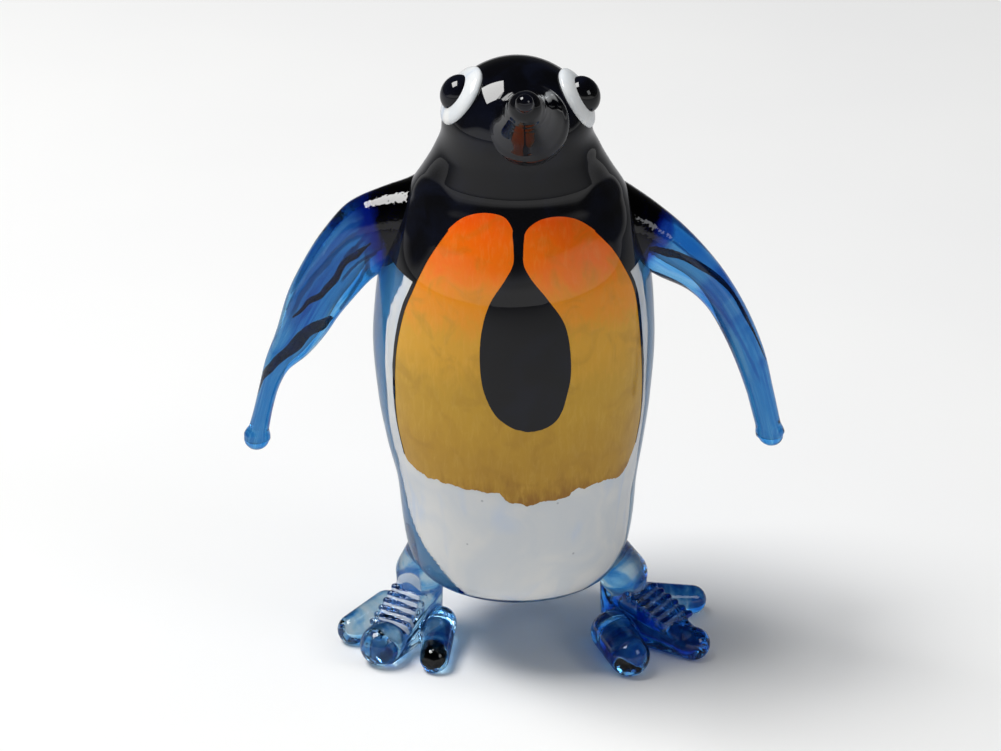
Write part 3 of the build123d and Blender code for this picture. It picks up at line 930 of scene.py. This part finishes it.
def make_flipper(side):
    """One flipper from inside the body to the ball at its tip, with its map."""
    count = 56
    rings = []
    places = []
    blade_steps = 64
    for number in range(blade_steps + 1):
        along = number / blade_steps
        low, high, thickness = flipper_place(side, along)
        wide = (high - low) / 2
        rings.append(oval((low + high) / 2, wide, Vector((0, thickness / 2, 0)), count))
        places.append(along * flipper_map_share)
    tip = Vector((OUTWARD[side] * (half_span - flipper_tip_radius), 0, flipper_tip_share[side] * figure_height))
    start = (low + high) / 2
    away = tip - start
    span = away.length
    wide_way = (high - low).normalized()
    steps = 26
    for number in range(1, steps + 1):
        run = (span + flipper_tip_radius) * number / (steps + 1)
        ball = math.sqrt(max(flipper_tip_radius**2 - (run - span) ** 2, 0))
        fade = smooth(0, span, run)
        neck = flipper_neck_share[side] * flipper_tip_radius
        sizes = []
        for size in ((high - low).length / 2, thickness / 2):
            blade = size * (1 - fade) + neck * fade if run < span else 0
            sizes.append((ball**5 + blade**5) ** 0.2)
        centre = start + away.normalized() * run
        rings.append(oval(centre, wide_way * sizes[0], Vector((0, sizes[1], 0)), count))
        places.append(flipper_map_share + (1 - flipper_map_share) * number / (steps + 1))
    end = tip + away.normalized() * flipper_tip_radius
    points, faces = tube(rings, None, end)
    piece = new_piece("flipper_glass_" + side, points, faces)
    layer = piece.data.uv_layers.new(name=flipper_map_name)
    for loop in piece.data.loops:
        number = loop.vertex_index
        if number >= len(rings) * count:
            layer.data[loop.index].uv = (1.0, 0.5)
            continue
        row, column = divmod(number, count)
        across = (1 + math.cos(2 * math.pi * column / count)) / 2
        layer.data[loop.index].uv = (places[row], across)
    return outward(piece)


def make_thread(name):
    """A dark ribbon drawn out inside a flipper."""
    side = name.rsplit("_", 1)[1]
    start, end, first, middle, last, breadth_share, thickness_share = thread_shares[name]
    rows = [(0.0, first), (0.5, middle), (1.0, last)]
    rings = []
    steps = 48
    for number in range(1, steps):
        part = number / steps
        along = start + (end - start) * part
        low, high, thickness = flipper_place(side, along)
        place = table_value(rows, part)[0]
        wander = 0.06 * noise.noise(Vector((part * 5, len(name), 0)))
        centre = low + (high - low) * (place + wander)
        centre.y = thickness * 0.16 * noise.noise(Vector((part * 3, 0, len(name))))
        swell = math.sin(math.pi * part) ** 0.5 * (1 + 0.25 * noise.noise(Vector((part * 9, 4, 1))))
        wide = (high - low) * breadth_share / 2 * swell
        deep = Vector((0, thickness * thickness_share / 2 * swell, 0))
        rings.append(oval(centre, wide, deep, 20))
    points, faces = tube(rings, sum(rings[0], Vector()) / 20, sum(rings[-1], Vector()) / 20)
    return solid_piece(name + "_glass", points, faces)


# Legs, feet and tail

underside_height = 0.126 * figure_height


def foot_frame(side):
    """The heel's place, the ways ahead and aside, and the frame of the ribs."""
    turn = foot_turn[side]
    outer_way = OUTWARD[side]
    ahead = Vector((outer_way * math.sin(turn), -math.cos(turn), 0))
    aside = Vector((outer_way * math.cos(turn), math.sin(turn), 0))
    length = foot_length[side]
    heel = Vector((outer_way * (half_width - heel_inset[side]), heel_back[side], 0))
    slope = (ahead * length + Vector((0, 0, pad_front_height - pad_rear_height))).normalized()
    middle = heel + ahead * (length / 2) + Vector((0, 0, (pad_front_height + pad_rear_height) / 2 + rib_rise))
    across = Matrix.Rotation(-outer_way * rib_skew, 3, "Z") @ aside
    return heel, ahead, aside, slope, middle, across


def foot_gathers(side):
    """The drops that form a foot, by gather: start, end and both radii of each."""
    heel, ahead, aside, slope, middle, across = foot_frame(side)
    up = Vector((0, 0, 1))
    length = foot_length[side]
    bend = heel + up * leg_bend_share * underside_height
    top = Vector((OUTWARD[side] * (half_width - leg_top_inset), -leg_top_forward, underside_height + leg_sink))
    gathers = {"leg": [(bend, top, leg_bend_radius, leg_top_radius)], "pad": []}
    gathers["leg"].append((heel + up * heel_radius, bend, heel_radius, leg_bend_radius * 0.98))
    ball = middle_toe_radius[side]
    front_width = pad_front_width_share * ball
    for share in (-1, -0.33, 0.33, 1):
        rear = heel + aside * share * (pad_rear_width / 2 - pad_rounding)
        front = heel + ahead * length + aside * share * (front_width / 2 - pad_rounding)
        for level in (0, 0.5, 1):
            rear_rise = up * (pad_rounding + level * (pad_rear_height - 2 * pad_rounding))
            front_rise = up * (pad_rounding + level * (pad_front_height - 2 * pad_rounding))
            gathers["pad"].append((rear + rear_rise, front + front_rise, pad_rounding, pad_rounding * 0.98))
    low = up * (ball - sole_press)
    gathers["middle"] = [(heel + ahead * length * 0.80 + low, heel + ahead * length + low, ball * 0.9, ball)]
    for toe in ("outer", "inner"):
        root_ahead, root_aside, tip_ahead, tip_aside, root_height = toe_place_shares[(side, toe)]
        root_radius, tip_radius = toe_radii[(side, toe)]
        root = heel + ahead * root_ahead * length + aside * root_aside * length + up * root_height * ball
        tip = heel + ahead * tip_ahead * length + aside * tip_aside * length + up * (tip_radius - sole_press)
        gathers[toe] = [(root, tip, root_radius, tip_radius)]
    return gathers


def drop_distance(place, start, end, start_radius, end_radius):
    """How far a place lies outside a drop."""
    axis = end - start
    part = max(0.0, min(1.0, (place - start).dot(axis) / axis.length_squared))
    return (place - start - axis * part).length - start_radius - (end_radius - start_radius) * part


def make_foot(side):
    """One leg and foot melted together from the gathers that form it."""
    gathers = foot_gathers(side)
    parts = [drop(*form) for forms in gathers.values() for form in forms]
    heel, ahead, aside, slope, middle, across = foot_frame(side)
    for number in range(rib_count):
        place = middle + slope * (rib_pitch * (number - (rib_count - 1) / 2))
        reach = across * (rib_length / 2 * (1 + 0.12 * noise.noise(Vector((number, 2, 5)))))
        parts.append(drop(place - reach, place + reach, rib_radius, rib_radius * 0.98, 16, 5))
    piece = fused("foot_glass_" + side, parts, foot_voxel, 5)
    seams = []
    depths = []
    for point in piece.data.vertices:
        point.co.z = max(point.co.z, 0.0)
        near = []
        for name, forms in gathers.items():
            distance = min(drop_distance(point.co, *form) for form in forms)
            near.append((distance, gather_depth_shares[side][name]))
        near.sort()
        gap = near[1][0] - near[0][0]
        seams.append(1 - smooth(0.3 * seam_width, seam_width, gap))
        blend = 0.5 * (1 - smooth(0, 2 * seam_width, gap))
        depths.append(near[0][1] * (1 - blend) + near[1][1] * blend)
    for name, values in (("seam", seams), ("depth", depths)):
        layer = piece.data.attributes.new(name, "FLOAT", "POINT")
        layer.data.foreach_set("value", values)
    return piece


def make_tail():
    """A small drawn-out point at the lower back."""
    root = Vector((0, body_depth / 2 - tail_root_inset, underside_height + tail_root_rise))
    tip_back = body_depth / 2 + beak_proud - tail_tip_radius
    tip = Vector((0, tip_back, underside_height - tail_tip_drop))
    points, faces = drop(root, tip, tail_root_radius, tail_tip_radius, 48, 14)
    return solid_piece("tail_glass", points, faces)


# Materials

class Nodes:
    """Adds nodes to one shader tree."""

    def __init__(self, tree):
        self.tree = tree

    def plug(self, node, inputs):
        """Sets or links the inputs of a node."""
        for name, value in inputs.items():
            socket = node.inputs[name]
            if isinstance(value, bpy.types.NodeSocket):
                self.tree.links.new(value, socket)
            else:
                socket.default_value = value + (1.0,) if socket.type == "RGBA" else value

    def new(self, kind, inputs=None, **settings):
        """The outputs of a new node."""
        node = self.tree.nodes.new("ShaderNode" + kind)
        for name, value in settings.items():
            setattr(node, name, value)
        self.plug(node, inputs or {})
        return node.outputs

    def stretched(self, vector, scales, turn=(0, 0, 0)):
        """Coordinates stretched and turned, for streaks."""
        return self.new("Mapping", {"Vector": vector, "Scale": scales, "Rotation": turn})["Vector"]

    def noise(self, vector, scale, detail=3.0, distortion=0.0, rough=0.5):
        """A noise value between 0 and 1."""
        shape = {"Scale": scale, "Detail": detail, "Roughness": rough, "Distortion": distortion}
        return self.new("TexNoise", {"Vector": vector, **shape})["Fac"]

    def ramp(self, value, stops, kind="EASE"):
        """A colour ramp with (place, colour) stops, where a single number is a grey."""
        node = self.tree.nodes.new("ShaderNodeValToRGB")
        node.color_ramp.interpolation = kind
        while len(node.color_ramp.elements) < len(stops):
            node.color_ramp.elements.new(0.5)
        for element, (place, colour) in zip(node.color_ramp.elements, stops):
            element.position = place
            element.color = (colour if isinstance(colour, tuple) else (colour,) * 3) + (1.0,)
        self.plug(node, {"Fac": value})
        return node.outputs["Color"]

    def math(self, kind, *values):
        """A Math node over numbers or sockets."""
        return self.new("Math", dict(enumerate(values)), operation=kind)["Value"]

    def times(self, first, *others):
        """The product of several values."""
        for other in others:
            first = self.math("MULTIPLY", first, other)
        return first

    def swung(self, value, swing, middle):
        """A middle value that a noise value swings round."""
        return self.math("MULTIPLY_ADD", self.math("SUBTRACT", value, 0.5), swing, middle)

    def mixed(self, share, first, second):
        """Two colours mixed by a share."""
        return self.new("Mix", {0: share, 6: first, 7: second}, data_type="RGBA")[2]

    def parts(self, vector):
        """The three parts of a vector."""
        return tuple(self.new("SeparateXYZ", {"Vector": vector}))

    def between(self, value, low, high, kind="SMOOTHSTEP"):
        """A value mapped from low and high to 0 and 1."""
        limits = {"Value": value, "From Min": low, "From Max": high}
        return self.new("MapRange", limits, interpolation_type=kind)["Result"]


class Paint(Nodes):
    """The nodes of one material, which measures places in millimetres."""

    def __init__(self, name):
        self.material = bpy.data.materials.new(name)
        self.material.use_nodes = True
        super().__init__(self.material.node_tree)
        self.shader = self.tree.nodes["Principled BSDF"]
        self.place = self.stretched(self.new("TexCoord")["Object"], (1 / mm,) * 3)

    def bump(self, height, strength, distance):
        """Fine relief on the surface."""
        relief = self.new("Bump", {"Height": height, "Strength": strength, "Distance": distance})
        self.plug(self.shader, {"Normal": relief["Normal"]})

    def polish(self, base, scale, detail, clean, dull):
        """Opaque glass of a colour, with a polish that varies a little."""
        haze = self.ramp(self.noise(self.place, scale, detail), [(0.35, clean), (0.80, dull)])
        self.plug(self.shader, {"Base Color": base, "Roughness": haze, "IOR": glass_ior})

    def clear(self, base, tint, density):
        """Clear glass of a colour, in which light fades towards a tint."""
        look = {"Transmission Weight": 1.0, "IOR": glass_ior, "Roughness": clear_roughness}
        self.plug(self.shader, {"Base Color": base, **look})
        inside = self.new("VolumeAbsorption", {"Color": tint, "Density": density})
        output = next(item for item in self.tree.nodes if item.type == "OUTPUT_MATERIAL")
        self.plug(output, {"Volume": inside["Volume"]})

    def measured(self, origin, way):
        """The distance in millimetres from an origin along a way."""
        run = self.new("VectorMath", {0: self.place, 1: way}, operation="DOT_PRODUCT")["Value"]
        return self.math("SUBTRACT", run, origin.dot(way) / mm)

    def layer(self, name):
        """A value stored on a piece's points."""
        return self.new("Attribute", attribute_name=name)["Fac"]


def black_glass():
    """Polished black glass with faint wisps of blue and a little haze."""
    paint = Paint("black_glass")
    wisps = paint.noise(paint.place, 0.35, 4.0, 0.8)
    base = paint.ramp(wisps, [(0.40, (0.0022, 0.0023, 0.0034)), (0.75, (0.004, 0.005, 0.011))])
    paint.polish(base, 1.6, 5.0, 0.015, 0.055)
    paint.bump(paint.noise(paint.place, 0.45, 2.0), 0.12, black_relief)
    return paint.material


def white_glass(name, tone):
    """Opaque white glass, faintly mottled, with a few specks and a diagonal band, darker and bluer: a bluish
    tint of the glass with painted shade along a soft crease.
    """
    paint = Paint(name)
    light = tuple(tone * share for share in (1.0, 1.005, 0.99))
    cool = tuple(tone * share for share in (0.885, 0.925, 0.96))
    base = paint.ramp(paint.noise(paint.place, 0.22, 4.0, 1.2), [(0.30, cool), (0.70, light)])
    # Painted shade with a bluish tint: a diagonal band made darker and bluer where a soft crease runs across
    # the white.
    crease = paint.stretched(paint.place, (0.5, 1, 0.22), (0, math.radians(-38), 0))
    crease_tint_and_shade = paint.between(paint.noise(crease, 0.55, 3.0, 0.6), 0.52, 0.78)
    base = paint.mixed(crease_tint_and_shade, base, (0.58, 0.65, 0.76))
    specks = paint.new("TexVoronoi", {"Vector": paint.place, "Scale": 0.42})["Distance"]
    speckled = paint.times(paint.between(specks, 0.05, 0.03), 0.5)
    base = paint.mixed(speckled, base, (0.22, 0.24, 0.28))
    paint.polish(base, 1.1, 4.0, 0.035, 0.085)
    glow = {"Subsurface Weight": 0.15, "Subsurface Radius": white_glow_depths, "Subsurface Scale": 1.0}
    paint.plug(paint.shader, glow)
    paint.bump(paint.noise(paint.place, 0.30, 2.0, 0.5), 0.20, white_relief)
    return paint.material


def orange_glass():
    """Streaky enamel: orange-red above, golden in the middle and ochre below."""
    paint = Paint("orange_glass")
    aside, back, height = paint.parts(paint.place)
    share = paint.math("DIVIDE", height, figure_height / mm)
    fibres = paint.noise(paint.stretched(paint.place, (1.9, 1.0, 0.42)), 1.5, 6.0, 0.8, 0.62)
    mottle = paint.noise(paint.place, 0.42, 4.0, 1.0)
    shift = paint.swung(mottle, 0.07, paint.swung(fibres, 0.05, share))
    stops = [
        (0.00, (0.30, 0.135, 0.012)),
        (0.10, (0.47, 0.255, 0.022)),
        (0.38, (0.56, 0.315, 0.026)),
        (0.56, (0.70, 0.355, 0.026)),
        (0.70, (0.84, 0.285, 0.012)),
        (0.84, (0.93, 0.165, 0.004)),
        (1.00, (0.93, 0.100, 0.003)),
    ]
    base = paint.ramp(paint.between(shift, 0.33, 0.80, "LINEAR"), stops)
    light = paint.times(paint.between(fibres, 0.45, 0.75), 0.12)
    base = paint.mixed(light, base, (0.88, 0.60, 0.14))
    dark = paint.times(paint.between(mottle, 0.55, 0.30), 0.22)
    base = paint.mixed(dark, base, (0.30, 0.14, 0.012))
    paint.polish(base, 1.3, 4.0, 0.03, 0.075)
    paint.bump(fibres, 0.06, orange_relief)
    return paint.material


def casing_glass():
    """Clear cobalt casing glass with faint streaks."""
    paint = Paint("blue_casing_glass")
    streaks = paint.noise(paint.stretched(paint.place, (1.0, 1.0, 0.16)), 0.5, 3.0, 0.7)
    stops = [(0.30, (0.45, 0.68, 0.93)), (0.55, (0.66, 0.83, 0.97)), (0.80, (0.85, 0.93, 0.98))]
    aside, back, height = paint.parts(paint.place)
    high = paint.between(height, casing_deeper_low / mm, casing_deeper_high / mm)
    base = paint.mixed(paint.times(high, 0.75), paint.ramp(streaks, stops), (0.28, 0.60, 0.90))
    paint.clear(base, (0.10, 0.72, 0.97), 480.0)
    return paint.material


def streak(paint, along, across, line, width, strength):
    """How much of a streak lies at a place: its middle runs through the line's places."""
    first = line[0][0]
    last = line[-1][0]
    part = paint.between(along, first, last, "LINEAR")
    stops = [((place - first) / (last - first), middle) for place, middle in line]
    middle = paint.ramp(part, stops, "LINEAR")
    gap = paint.math("ABSOLUTE", paint.math("SUBTRACT", across, middle))
    fade = (last - first) * 0.12
    inside = paint.between(gap, width, width * 0.45)
    started = paint.between(along, first, first + fade)
    ended = paint.between(along, last, last - fade)
    return paint.times(inside, started, ended, strength)


def flipper_glass(side):
    """Cobalt glass that starts black at the shoulder, with streaks along the blade."""
    paint = Paint("flipper_glass_" + side)
    spot = paint.new("UVMap", uv_map=flipper_map_name)["UV"]
    along, across, none = paint.parts(spot)
    wave = paint.noise(paint.place, 0.33, 3.0, 0.8)
    fine = paint.noise(paint.stretched(spot, (3.0, 16.0, 1.0)), 1.0, 4.0, 0.6)
    across = paint.swung(wave, 0.10, across)
    stops = [(0.25, (0.008, 0.110, 0.54)), (0.50, (0.040, 0.300, 0.74)), (0.78, (0.20, 0.58, 0.90))]
    base = paint.ramp(fine, stops)
    for line, width, strength, colour in flipper_streak_shares[side]:
        base = paint.mixed(streak(paint, along, across, line, width, strength), base, colour)
    black_near, black_far, tilt = flipper_black_shares[side]
    cobalt_near, cobalt_far = flipper_cobalt_shares[side]
    edge = paint.math("MULTIPLY_ADD", across, -tilt, paint.swung(wave, 0.09, along))
    base = paint.mixed(paint.between(edge, cobalt_far, cobalt_near), base, (0.002, 0.014, 0.26))
    base = paint.mixed(paint.between(edge, black_far, black_near), base, (0.0, 0.0, 0.001))
    paint.clear(base, (0.28, 0.78, 0.97), 80.0)
    shoulder = paint.between(edge, black_far * 1.5, black_near)
    paint.bump(paint.times(paint.noise(paint.place, 1.5, 2.0), shoulder), 0.35, shoulder_relief)
    return paint.material


def swirled(paint, swirl, swing, depth):
    """Pale to deep cobalt by a depth that a swirl swings."""
    stops = [
        (0.00, (0.80, 0.92, 0.97)),
        (0.25, (0.50, 0.78, 0.95)),
        (0.45, (0.10, 0.42, 0.86)),
        (0.65, (0.010, 0.17, 0.64)),
        (0.90, (0.003, 0.050, 0.34)),
    ]
    return paint.ramp(paint.swung(swirl, swing, depth), stops, "LINEAR")


def foot_glass(side):
    """Pale glass with swirls of cobalt, dark seams and pressed ribs that carry painted highlights, white bars
    where the glass is also less clear.
    """
    paint = Paint("foot_glass_" + side)
    swirl = paint.noise(paint.place, 0.34, 3.0, 1.8)
    base = swirled(paint, swirl, 2.3, paint.layer("depth"))
    seam = paint.times(paint.layer("seam"), paint.between(swirl, 0.36, 0.50), 0.9)
    base = paint.mixed(seam, base, (0.006, 0.050, 0.30))
    heel, ahead, aside, slope, middle, across = foot_frame(side)
    out = across.cross(slope)
    out = out if out.z > 0 else -out
    run = paint.measured(middle, slope)
    wave = paint.math("COSINE", paint.times(run, 2 * math.pi * mm / rib_pitch))
    reach = rib_length / mm / 2
    pitch = rib_pitch / mm
    beside = paint.between(paint.math("ABSOLUTE", paint.measured(middle, across)), reach * 1.12, reach * 0.92)
    within = paint.between(paint.math("ABSOLUTE", run), 3.15 * pitch, 2.9 * pitch)
    on_top = paint.between(paint.measured(middle, out), rib_field_low / mm, rib_field_high / mm)
    field = paint.times(beside, within, on_top)
    base = paint.mixed(paint.times(field, 0.88), base, (0.008, 0.085, 0.46))
    # Painted highlights: white bars along the tops of the ribs, for the bright light the ribs show.
    rib_highlights = paint.times(field, paint.between(wave, -0.05, -0.45), rib_highlight_share[side])
    paint.clear(paint.mixed(rib_highlights, base, (0.86, 0.91, 0.96)), foot_tint, foot_density)
    # The painted highlights also take away most of the glass's clearness there.
    clearness = paint.math("MULTIPLY_ADD", rib_highlights, -0.8, 1.0)
    paint.plug(paint.shader, {"Transmission Weight": clearness})
    return paint.material


def tail_glass():
    """Pale glass with faint swirls of cobalt."""
    paint = Paint("foot_glass_tail")
    swirl = paint.noise(paint.place, 0.34, 3.0, 1.8)
    paint.clear(swirled(paint, swirl, 1.5, 0.28), foot_tint, foot_density)
    return paint.material


def thread_glass():
    """Nearly black navy glass."""
    paint = Paint("thread_glass")
    tint = paint.noise(paint.place, 0.8, 3.0)
    base = paint.ramp(tint, [(0.35, (0.003, 0.005, 0.012)), (0.75, (0.008, 0.020, 0.075))])
    paint.plug(paint.shader, {"Base Color": base, "Roughness": 0.12, "IOR": glass_ior})
    return paint.material


def dress(piece, material, nodes):
    """Gives a piece its material and its place in the model."""
    piece.data.materials.clear()
    piece.data.materials.append(material)
    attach(piece, "root")
    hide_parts(*nodes)


# The figure

black = black_glass()
white = white_glass("white_glass", 0.74)
pearl = white_glass("pearl_glass", 0.88)
orange = orange_glass()
thread = thread_glass()

dress(make_core(), white, ["belly_core"])
dress(make_casing(), casing_glass(), ["back_casing"])
dress(make_hood(), black, ["head", "collar"])
for node, piece in make_chest().items():
    dark = not node.startswith("chest_lobe")
    dress(piece, black if dark else orange, [node])
dress(make_beak(), black, ["beak"])
for side in OUTWARD:
    eye, pupil = make_eye(side)
    dress(eye, pearl, ["eye_white_" + side])
    dress(pupil, black, ["eye_pupil_" + side])
    dress(make_flipper(side), flipper_glass(side), ["flipper_" + side])
    foot_nodes = [name + side for name in ("leg_", "foot_pad_", "toe_outer_", "toe_middle_", "toe_inner_")]
    dress(make_foot(side), foot_glass(side), foot_nodes)
for node in thread_shares:
    dress(make_thread(node), thread, [node])
dress(make_tail(), tail_glass(), ["tail"])


# Table, light and camera

def make_table():
    """A round pale table top, big enough to fill the view. Glass mirrors it darker."""
    rings = []
    for share in (0.0005, 0.02, 0.06, 0.15, 0.35, 0.7, 1.0):
        radius = table_radius * share
        rings.append(oval(Vector(), Vector((radius, 0, 0)), Vector((0, radius, 0)), table_sides))
    points = [point for ring in rings for point in ring]
    faces = grid_faces(len(rings), table_sides)
    faces.append(tuple(range(table_sides))[::-1])
    table = new_piece("table", points, faces)
    paint = Paint("table_white")
    base = paint.ramp(paint.noise(paint.place, 0.02, 3.0), [(0.3, 0.915), (0.7, (0.935, 0.935, 0.93))])
    mirrored = paint.new("LightPath")["Is Glossy Ray"]
    base = paint.mixed(mirrored, base, (0.52, 0.52, 0.53))
    paint.plug(paint.shader, {"Base Color": base, "Roughness": 0.75})
    table.data.materials.append(paint.material)


def make_lamp(name, way, distance, width, height, power, colour):
    """A softbox that faces the figure from a direction."""
    light = bpy.data.lights.new(name, "AREA")
    light.shape = "RECTANGLE"
    light.size = width
    light.size_y = height
    light.energy = power
    light.color = colour
    lamp = bpy.data.objects.new(name, light)
    target = Vector((0, 0, figure_height / 2))
    lamp.location = target + Vector(way).normalized() * distance
    lamp.rotation_euler = (target - lamp.location).to_track_quat("-Z", "Y").to_euler()
    bpy.context.scene.collection.objects.link(lamp)


def make_world():
    """Pale surroundings near the table and a darker room above."""
    world = bpy.data.worlds.new("room")
    bpy.context.scene.world = world
    world.use_nodes = True
    nodes = Nodes(world.node_tree)
    aside, depth, height = nodes.parts(nodes.new("TexCoord")["Generated"])
    stops = [(0.0, (0.86, 0.86, 0.87)), (0.30, (0.80, 0.80, 0.81)), (0.9, (0.62, 0.62, 0.63))]
    seen = nodes.ramp(height, stops)
    raised = nodes.math("MULTIPLY_ADD", nodes.between(depth, 0.10, -0.55), -0.24, height)
    mirrored = nodes.ramp(nodes.between(raised, -0.12, 0.50, "LINEAR"),
                          [(0.0, 0.70), (0.12, 0.50), (0.24, 0.05), (1.0, 0.012)])
    through = nodes.ramp(height, [(0.0, 0.88), (0.20, 0.86), (0.45, 0.74), (0.9, 0.50)])
    rays = nodes.new("LightPath")
    colour = (0.24, 0.245, 0.25)
    for ray, tone in (("Is Glossy Ray", mirrored), ("Is Transmission Ray", through), ("Is Camera Ray", seen)):
        colour = nodes.mixed(rays[ray], colour, tone)
    back = nodes.tree.nodes["Background"]
    nodes.plug(back, {"Color": colour})
    nodes.plug(nodes.tree.nodes["World Output"], {"Surface": back.outputs["Background"]})


def make_camera():
    """The camera at the photograph's angle."""
    data = bpy.data.cameras.new("camera")
    data.sensor_width = sensor_width
    data.lens = lens_length
    data.clip_start = view_start
    data.clip_end = view_end
    camera = bpy.data.objects.new("camera", data)
    rise = camera_height_angle
    away = Vector((0, -math.cos(rise), math.sin(rise)))
    camera.location = camera_target + away * camera_distance
    camera.rotation_euler = (-away).to_track_quat("-Z", "Y").to_euler()
    bpy.context.scene.collection.objects.link(camera)
    bpy.context.scene.camera = camera


make_table()
for name, values in lamps.items():
    make_lamp(name, *values)
make_world()
make_camera()
bpy.context.scene.view_settings.view_transform = "Standard"
